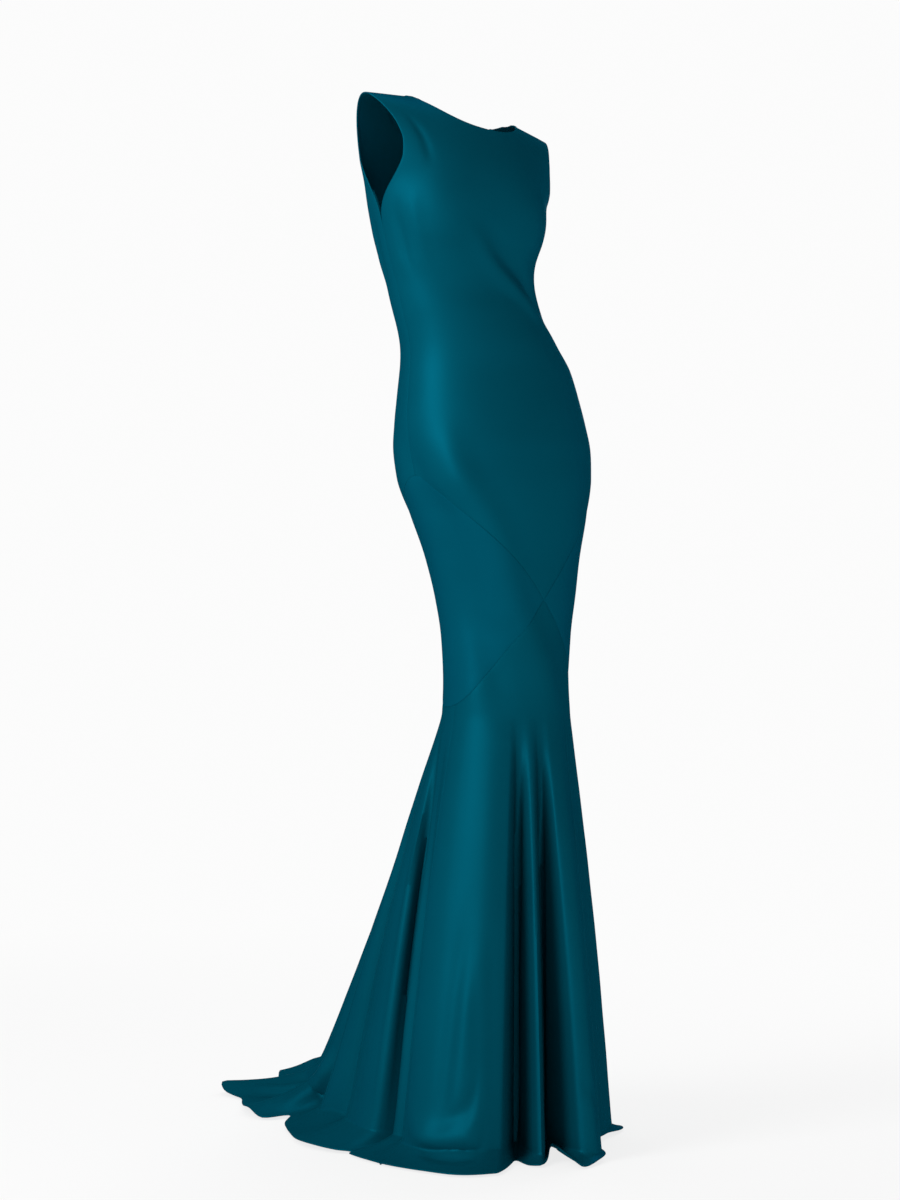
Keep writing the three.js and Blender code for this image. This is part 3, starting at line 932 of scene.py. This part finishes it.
@dataclass(frozen=True)
class ClothSheet:
    """One panel of cloth, from its outer face to the finished piece."""

    node: str
    finish: SatinFinish
    held: str
    cut: Cut
    smooth_angle: float = math.radians(60)

    def build(self, points: Array, thickness: float) -> Piece:
        """Lays a grid over the outer face, gives it the cloth's thickness and dresses it.

        Args:
            points: outer face [column, row], in millimetres.
            thickness: of the cloth, in millimetres, laid inwards.

        Returns:
            The finished piece.
        """
        columns, rows = points.shape[0] - 1, points.shape[1] - 1
        bpy.ops.object.select_all(action="DESELECT")
        bpy.ops.mesh.primitive_grid_add(x_subdivisions=columns, y_subdivisions=rows, size=2.0)
        piece = bpy.context.active_object
        piece.name = f"{self.node}_satin"
        mesh = piece.data
        mesh.name = piece.name
        flat = np.empty(len(mesh.vertices) * 3)
        mesh.vertices.foreach_get("co", flat)
        flat = flat.reshape(-1, 3)
        column = np.rint((flat[:, 0] + 1) / 2 * columns).astype(int)
        row = np.rint((flat[:, 1] + 1) / 2 * rows).astype(int)
        mesh.vertices.foreach_set("co", (points[column, row] * MM).ravel())
        corner = np.empty(len(mesh.loops), dtype=np.int32)
        mesh.loops.foreach_get("vertex_index", corner)
        lengths = cloth_lengths(points)
        mesh.uv_layers.active.data.foreach_set("uv", lengths[column, row][corner].ravel())
        wall = piece.modifiers.new("cloth thickness", "SOLIDIFY")
        wall.thickness = thickness * MM
        wall.offset = -1.0
        bpy.ops.object.modifier_apply(modifier=wall.name)
        bpy.ops.object.shade_smooth_by_angle(angle=self.smooth_angle)
        mesh.materials.clear()
        mesh.materials.append(self.finish.material())
        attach(piece, "root")
        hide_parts(self.node)
        area = sum(face.area for face in mesh.polygons) / 2
        wide, long = np.ptp(lengths, axis=(0, 1)).tolist()
        LOG.info("%s: %d faces, %.3f m2 of cloth", piece.name, len(mesh.polygons), area)
        LOG.info("%s: %.2f m at its widest, %.2f m at its longest", piece.name, wide, long)
        return piece


@dataclass(frozen=True)
class PanelMaker:
    """What every panel shares: the form, the sewing and the cloth's own unevenness."""

    form: GownForm = GownForm()
    sewing: Sewing = Sewing()
    surface: Surface = Surface()
    least_per_degree: float = 0.3

    def relief(self, points: Array, turn: Array, height: Array) -> Array:
        """All that stands out of or sinks into the smooth form.

        Args:
            points: grid of points in millimetres.
            turn: degrees from the centre front.
            height: millimetres above the floor, or the level below the knee.

        Returns:
            Millimetres outwards.
        """
        per_degree = self.form.per_degree(turn, np.minimum(height, self.form.armhole_base))
        per_degree = np.maximum(per_degree, self.least_per_degree)
        total = self.surface.unevenness(points)
        for crease in CREASES:
            total = total + crease.relief(turn, height, per_degree)
        for name in SEAM_COLUMNS:
            distance = np.abs(height - self.form.seam(name, turn)) / self.form.seam_slant(name, turn)
            total = total + self.surface.seam_relief(distance, turn * per_degree)
        side = np.abs(np.abs(wrapped(turn)) - QUARTER_TURN) * per_degree
        below_upper = height < self.form.seam("upper", turn)
        is_inset = below_upper & (height > self.form.seam("lower", turn))
        side_seam = self.surface.seam_relief(side, height)
        return total + np.where(is_inset | (height > self.form.armhole_base), 0, side_seam)

    def raised(self, points: Array, turn: Array, height: Array) -> Array:
        """The grid with its relief, kept clear of the floor.

        Args:
            points: grid of points in millimetres.
            turn: degrees from the centre front.
            height: millimetres above the floor, or the level below the knee.

        Returns:
            The moved points.
        """
        moved = points + grid_normals(points) * self.relief(points, turn, height)[..., None]
        moved[..., 2] = np.maximum(moved[..., 2], self.form.hem_clearance - SHOULDER_HEIGHT)
        return moved


@dataclass(frozen=True)
class FittedBody(PanelMaker):
    """Front and back of the body, each cut in one from the crossed seams to the shoulders."""

    half_columns: int = 84
    inner_columns: int = 42
    lower_rows: int = 126
    upper_rows: int = 72
    opening_rows: int = 4
    corner_columns: int = 4
    corner_spread: int = 9
    corner_room_share: float = 0.12
    spread_share: float = 0.25
    easing_rows: int = 14
    easing_rounds: int = 60

    def column_shares(self) -> tuple[Array, Array]:
        """Places of the columns from side seam to side seam.

        Returns:
            Turns as shares of a quarter turn, and shares of the half width where columns spread evenly.
        """
        corner_share = self.form.strap_inner / self.form.strap_outer
        corner_turn = float(self.form.turn_of_share(np.array(corner_share))) / QUARTER_TURN
        stops = (0, self.inner_columns, self.half_columns)
        steps = np.arange(self.half_columns + 1)
        turns = np.interp(steps, stops, (0, corner_turn, 1))
        even = np.interp(steps, stops, (0, corner_share, 1))
        return np.concatenate([-turns[:0:-1], turns]), np.concatenate([-even[:0:-1], even])

    def past_corner(self, steps: Array) -> Array:
        """0 under the neck and 1 under the straps, at columns that many steps from the middle."""
        return smoothstep((steps - self.inner_columns + self.corner_columns) / self.corner_columns)

    def face(self, centre: float) -> tuple[Array, Array, Array]:
        """The outer face of one panel.

        Args:
            centre: 0 for the front and 180 for the back.

        Returns:
            The points, turns and heights of the grid.
        """
        form = self.form
        radius = self.sewing.seam_radius
        turn_shares, even_shares = self.column_shares()
        part = np.linspace(0, 1, self.lower_rows + 1)[None, :]
        side = np.full((1, self.lower_rows + 1), QUARTER_TURN)
        side_level = form.seam("upper", side) * (1 - part) + form.armhole_base * part
        reach = QUARTER_TURN - radius / form.per_degree(centre + side, side_level)
        lower_turn = centre + turn_shares[:, None] * reach
        foot = form.seam("upper", lower_turn) + radius * form.seam_slant("upper", lower_turn)
        level = foot + (form.armhole_base - foot) * part
        lower = form.tube(lower_turn, level)
        rest = 1 - np.arange(1, self.upper_rows + 1) / self.upper_rows
        share = (1 - rest**form.section_power)[None, :]
        is_front = centre == 0
        edge = ARMHOLE["front" if is_front else "back"].at(share)
        even = even_shares[:, None] * (1 - self.sewing.hem_radius / edge)
        base_turn = turn_shares[:, None] * reach[:, -1:]
        sine = np.sin(np.radians(base_turn))
        plain = sine * form.corner_scale(sine, np.cos(np.radians(base_turn)))
        spread = smoothstep(share / self.spread_share)
        across = plain * (1 - spread) + even * spread
        upper_turn = centre + form.turn_of_share(across)
        upper = form.bodice(upper_turn, share + 0 * upper_turn, is_front)
        steps = np.abs(np.arange(len(even_shares)) - self.half_columns)
        away_from_seam = -radius if is_front else radius
        upper[:, -1, 1] += self.past_corner(steps) * away_from_seam
        points = self.eased(form.placed(np.concatenate([lower, upper], axis=1)))
        turn = np.concatenate([lower_turn, upper_turn], axis=1)
        height = np.concatenate([level, upper[..., 2]], axis=1)
        return points, turn, height

    def eased(self, points: Array) -> Array:
        """The grid with the line under the armholes smoothed away.

        Args:
            points: grid of points in millimetres.

        Returns:
            The smoothed grid.
        """
        reach = np.abs(np.arange(points.shape[1]) - self.lower_rows) / self.easing_rows
        strength = smoothstep(2 - 2 * reach)[None, :, None]
        for _ in range(self.easing_rounds):
            middle = (np.roll(points, 1, axis=1) + np.roll(points, -1, axis=1)) / 2
            points = points + (middle - points) * strength / 2
        return points

    def panel(self, centre: float, sheet: ClothSheet) -> Piece:
        """One body panel with its seams and open edges turned in.

        Args:
            centre: 0 for the front and 180 for the back.
            sheet: what the panel is.

        Returns:
            The finished piece.
        """
        sewing = self.sewing
        points = self.raised(*self.face(centre))
        open_side = smoothstep((np.arange(points.shape[1]) - self.lower_rows) / self.opening_rows)
        for edge in (Edge.START, Edge.END):
            points = with_turning(points, edge, sewing.turning(open_side))
        columns = points.shape[0]
        steps = np.abs(np.arange(columns) - (columns - 1) / 2)
        room = corner_room(columns, sewing.hem_radius)
        points = with_turning(points, Edge.FOOT, sewing.turning(np.zeros(columns), room))
        neck_corner = smoothstep(np.abs(steps - self.inner_columns) / self.corner_spread)
        least = self.corner_room_share
        room = np.minimum(room, sewing.hem_radius * (least + (1 - least) * neck_corner))
        points = with_turning(points, Edge.HEAD, sewing.turning(1 - self.past_corner(steps), room))
        return sheet.build(points, sewing.cloth)


@dataclass(frozen=True)
class HipInsets(PanelMaker):
    """The two side panels between the crossed seams."""

    columns: int = 150
    rows: int = 64
    tip_turn: float = 0.12
    tip_height: float = 0.1
    least_room: float = 0.02

    def panel(self, centre: float, sheet: ClothSheet) -> Piece:
        """One inset.

        Args:
            centre: 90 for the wearer's left and -90 for the right.
            sheet: what the panel is.

        Returns:
            The finished piece.
        """
        form, sewing = self.form, self.sewing
        turns = np.linspace(self.tip_turn, 2 * QUARTER_TURN - self.tip_turn, self.columns + 1)
        turn = (centre - QUARTER_TURN + turns)[:, None]
        slants = [form.seam_slant(name, turn) for name in SEAM_COLUMNS]
        upper, lower = (form.seam(name, turn) for name in SEAM_COLUMNS)
        room = np.maximum((upper - lower) / (slants[0] + slants[1]) - self.tip_height, self.least_room)
        radius = np.minimum(sewing.seam_radius, room)
        foot = lower + radius * slants[1]
        head = upper - radius * slants[0]
        level = foot + (head - foot) * np.linspace(0, 1, self.rows + 1)[None, :]
        grid = turn + 0 * level
        points = self.raised(form.placed(form.tube(grid, level)), grid, level)
        turning = sewing.turning(np.zeros(len(turns)), room[:, 0])
        for edge in (Edge.FOOT, Edge.HEAD):
            points = with_turning(points, edge, turning)
        return sheet.build(points, sewing.cloth)


@dataclass(frozen=True)
class FlaredSkirt(PanelMaker):
    """Front and back of the skirt, from the lower crossed seam to the hem and the train."""

    half_columns: int = 104
    rows: int = 186
    knee_weight: float = 2.2
    calf_level: float = 200.0
    hem_level: float = 4.0
    samples: int = 3001
    hem_row_share: float = 0.55
    hem_start_share: float = 0.8
    probe: float = 0.2
    shifted_columns: int = 3
    shift_growth: float = 0.6

    def turns(self, start: float, end: float) -> Array:
        """Turns of the columns of half a panel, spread evenly along the cloth.

        Args:
            start: first turn.
            end: last turn.

        Returns:
            The turns, first and last included.
        """
        dense = np.linspace(start, end, self.samples)
        levels = (self.calf_level, self.hem_level)
        calf, hem = (self.form.per_degree(dense, np.full_like(dense, level)) for level in levels)
        weight = self.knee_weight + calf + hem
        length = np.concatenate([[0], np.cumsum((weight[1:] + weight[:-1]) / 2)])
        return np.interp(np.linspace(0, length[-1], self.half_columns + 1), length, dense)

    def face(self, centre: float) -> tuple[Array, Array, Array]:
        """The outer face of one panel, with its first and last columns drawn in from the side seams.

        Args:
            centre: 0 for the front and 180 for the back.

        Returns:
            The points, turns and levels of the grid.
        """
        form, sewing = self.form, self.sewing
        first, last = centre - QUARTER_TURN, centre + QUARTER_TURN
        turns = np.concatenate([self.turns(first, centre)[:-1], self.turns(centre, last)])
        part = np.linspace(0, 1, self.rows + 1)[None, :]
        part = self.hem_row_share * part + (1 - self.hem_row_share) * part**2
        turn = turns[:, None] + 0 * part
        head = form.seam("lower", turn) - sewing.seam_radius * form.seam_slant("lower", turn)
        foot = sewing.hem_radius * self.hem_start_share
        level = foot + (head - foot) * part
        for column, sense in ((0, 1), (-1, -1)):
            beside = turn[column] + sense * self.probe
            inwards = sewing.seam_radius / form.per_degree(beside, level[column])
            turn[column] = turn[column] + sense * inwards
        shift_start = turn[0] - turns[0]
        shift_end = turn[-1] - turns[-1]
        for step in range(1, self.shifted_columns + 1):
            growth = 1 + step * self.shift_growth
            turn[step] = np.maximum(turn[step], turns[0] + shift_start * growth)
            turn[-1 - step] = np.minimum(turn[-1 - step], turns[-1] + shift_end * growth)
        return form.placed(form.tube(turn, level)), turn, level

    def panel(self, centre: float, sheet: ClothSheet) -> Piece:
        """One skirt panel with its seams and hem turned in.

        Args:
            centre: 0 for the front and 180 for the back.
            sheet: what the panel is.

        Returns:
            The finished piece.
        """
        sewing = self.sewing
        points = self.raised(*self.face(centre))
        for edge in (Edge.START, Edge.END):
            points = with_turning(points, edge, sewing.turning(np.zeros(points.shape[1])))
        columns = points.shape[0]
        room = corner_room(columns, sewing.hem_radius)
        for edge, hem_share in ((Edge.FOOT, np.ones(columns)), (Edge.HEAD, np.zeros(columns))):
            points = with_turning(points, edge, sewing.turning(hem_share, room))
        return sheet.build(points, sewing.cloth)


@dataclass(frozen=True)
class SoftLight:
    """One soft studio panel, placed by its bearing from the gown."""

    name: str
    bearing: float
    elevation: float
    distance: float
    size: Pair
    power: float
    aim: Triple = (0.05, 0.0, -0.75)

    def build(self) -> Piece:
        """Places the light and points it at the gown.

        Returns:
            The light.
        """
        around, up = math.radians(self.bearing), math.radians(self.elevation)
        away = (math.sin(around) * math.cos(up), -math.cos(around) * math.cos(up), math.sin(up))
        place = [a + self.distance * d for a, d in zip(self.aim, away)]
        bpy.ops.object.select_all(action="DESELECT")
        bpy.ops.object.light_add(type="AREA", location=place)
        lamp = bpy.context.active_object
        lamp.name = self.name
        lamp.data.shape = "RECTANGLE"
        lamp.data.size, lamp.data.size_y = self.size
        lamp.data.energy = self.power
        lamp.visible_camera = False
        target = Vector(self.aim)
        lamp.rotation_euler = (target - lamp.location).to_track_quat("-Z", "Y").to_euler()
        return lamp


PAPER_NODES = (
    "ShaderNodeEmission",
    "ShaderNodeTexCoord",
    "ShaderNodeVectorMath",
    "ShaderNodeMapRange",
    "ShaderNodeMixShader",
)


@dataclass(frozen=True)
class Studio:
    """Pale floor and backdrop, soft lights and the camera at the photograph's angle."""

    room_radius: float = 12.0
    room_height: float = 6.0
    room_sides: int = 96
    floor_height: float = -SHOULDER_HEIGHT * MM
    floor_tone: float = 0.80
    floor_roughness: float = 0.9
    glow_start: float = 0.9
    glow_full: float = 3.2
    glow_least: float = 0.82
    backdrop_light: float = 0.97
    air_strength: float = 0.12
    azimuth: float = -36.0
    pitch: float = -0.64
    camera_place: Triple = (-3.0299, -4.1495, -0.666)
    lens: float = 102.75
    sensor: float = 36.0
    far: float = 200.0
    lights: tuple[SoftLight, ...] = (
        SoftLight("key_light", -84, 30, 3.4, (1.4, 2.6), 96),
        SoftLight("overhead", 150, 72, 4.2, (3.0, 3.0), 80),
        SoftLight("back_light", 118, 26, 3.8, (1.4, 2.6), 60),
    )

    def paper(self) -> bpy.types.Material:
        """White paper that is lit from behind away from the gown, so that no horizon shows.

        Returns:
            The material, which reads Object coordinates.
        """
        made = bpy.data.materials.new("studio_paper")
        made.use_nodes = True
        nodes = made.node_tree.nodes
        shader, output = nodes["Principled BSDF"], nodes["Material Output"]
        glow, place, reach, share, both = map(nodes.new, PAPER_NODES)
        reach.operation = "LENGTH"
        share.interpolation_type = "SMOOTHSTEP"
        values = (
            (shader, "Base Color", (self.floor_tone,) * 3 + (1,)),
            (shader, "Roughness", self.floor_roughness),
            (shader, "Specular IOR Level", 0.0),
            (glow, "Strength", self.backdrop_light),
            (share, "From Min", self.glow_start),
            (share, "From Max", self.glow_full),
            (share, "To Min", self.glow_least),
        )
        links = (
            (place, "Object", reach, 0),
            (reach, "Value", share, "Value"),
            (share, "Result", both, "Fac"),
            (shader, "BSDF", both, 1),
            (glow, "Emission", both, 2),
            (both, "Shader", output, "Surface"),
        )
        wire(made.node_tree, values, links)
        return made

    def room(self) -> Piece:
        """A wide round floor under the gown, with its rim drawn up as a backdrop.

        Returns:
            The floor and backdrop in one.
        """
        bpy.ops.object.select_all(action="DESELECT")
        sides, radius = self.room_sides, self.room_radius
        bpy.ops.mesh.primitive_circle_add(vertices=sides, radius=radius, fill_type="NGON")
        room = bpy.context.active_object
        room.name = "studio_room"
        room.location = (0, 0, self.floor_height)
        bpy.ops.object.mode_set(mode="EDIT")
        bpy.ops.mesh.select_all(action="SELECT")
        bpy.ops.mesh.region_to_loop()
        bpy.ops.mesh.extrude_edges_move(TRANSFORM_OT_translate={"value": (0, 0, self.room_height)})
        bpy.ops.object.mode_set(mode="OBJECT")
        room.data.materials.append(self.paper())
        return room

    def air(self) -> None:
        """Even white light from all round."""
        world = bpy.data.worlds.new("studio_air")
        world.use_nodes = True
        light = world.node_tree.nodes["Background"]
        light.inputs["Color"].default_value = (1, 1, 1, 1)
        light.inputs["Strength"].default_value = self.air_strength
        bpy.context.scene.world = world

    def camera(self) -> Piece:
        """The camera, upright and level with the middle of the gown.

        Returns:
            The camera.
        """
        bpy.ops.object.select_all(action="DESELECT")
        turned = (math.radians(90 + self.pitch), 0, math.radians(self.azimuth))
        bpy.ops.object.camera_add(location=self.camera_place, rotation=turned)
        camera = bpy.context.active_object
        camera.name = "studio_camera"
        camera.data.lens = self.lens
        camera.data.sensor_width = self.sensor
        camera.data.clip_end = self.far
        bpy.context.scene.camera = camera
        return camera

    def build(self) -> None:
        """The whole set."""
        bpy.context.scene.view_settings.view_transform = "Standard"
        self.room()
        self.air()
        for light in self.lights:
            light.build()
        self.camera()


def main() -> None:
    """Builds the gown, then the set round it, and reports each piece."""
    logging.basicConfig(level=logging.INFO, format="%(name)s: %(message)s")
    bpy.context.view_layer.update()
    body = SatinFinish("satin_body", (1, 78, 96), (1, 70, 87))
    inset = SatinFinish("satin_inset", (1, 78, 97), (1, 70, 88))
    skirt = SatinFinish("satin_skirt", (1, 75, 92), (1, 67, 83))
    panels = (
        (FittedBody(), 0, ClothSheet("front_body", body, "hung", Cut(0.48, 0.76, 0.265))),
        (FittedBody(), 180, ClothSheet("back_body", body, "hung", Cut(0.48, 0.76, 0.265))),
        (HipInsets(), -90, ClothSheet("hip_inset_right", inset, "stretched", Cut(0.37, 0.38, 0.078))),
        (HipInsets(), 90, ClothSheet("hip_inset_left", inset, "stretched", Cut(0.37, 0.38, 0.078))),
        (FlaredSkirt(), 0, ClothSheet("skirt_front", skirt, "hung", Cut(1.18, 0.90, 0.535))),
        (FlaredSkirt(), 180, ClothSheet("skirt_back", skirt, "hung", Cut(1.72, 1.12, 0.705))),
    )
    for maker, centre, sheet in panels:
        maker.panel(centre, sheet)
    Studio().build()


if __name__ == "__main__":
    main()
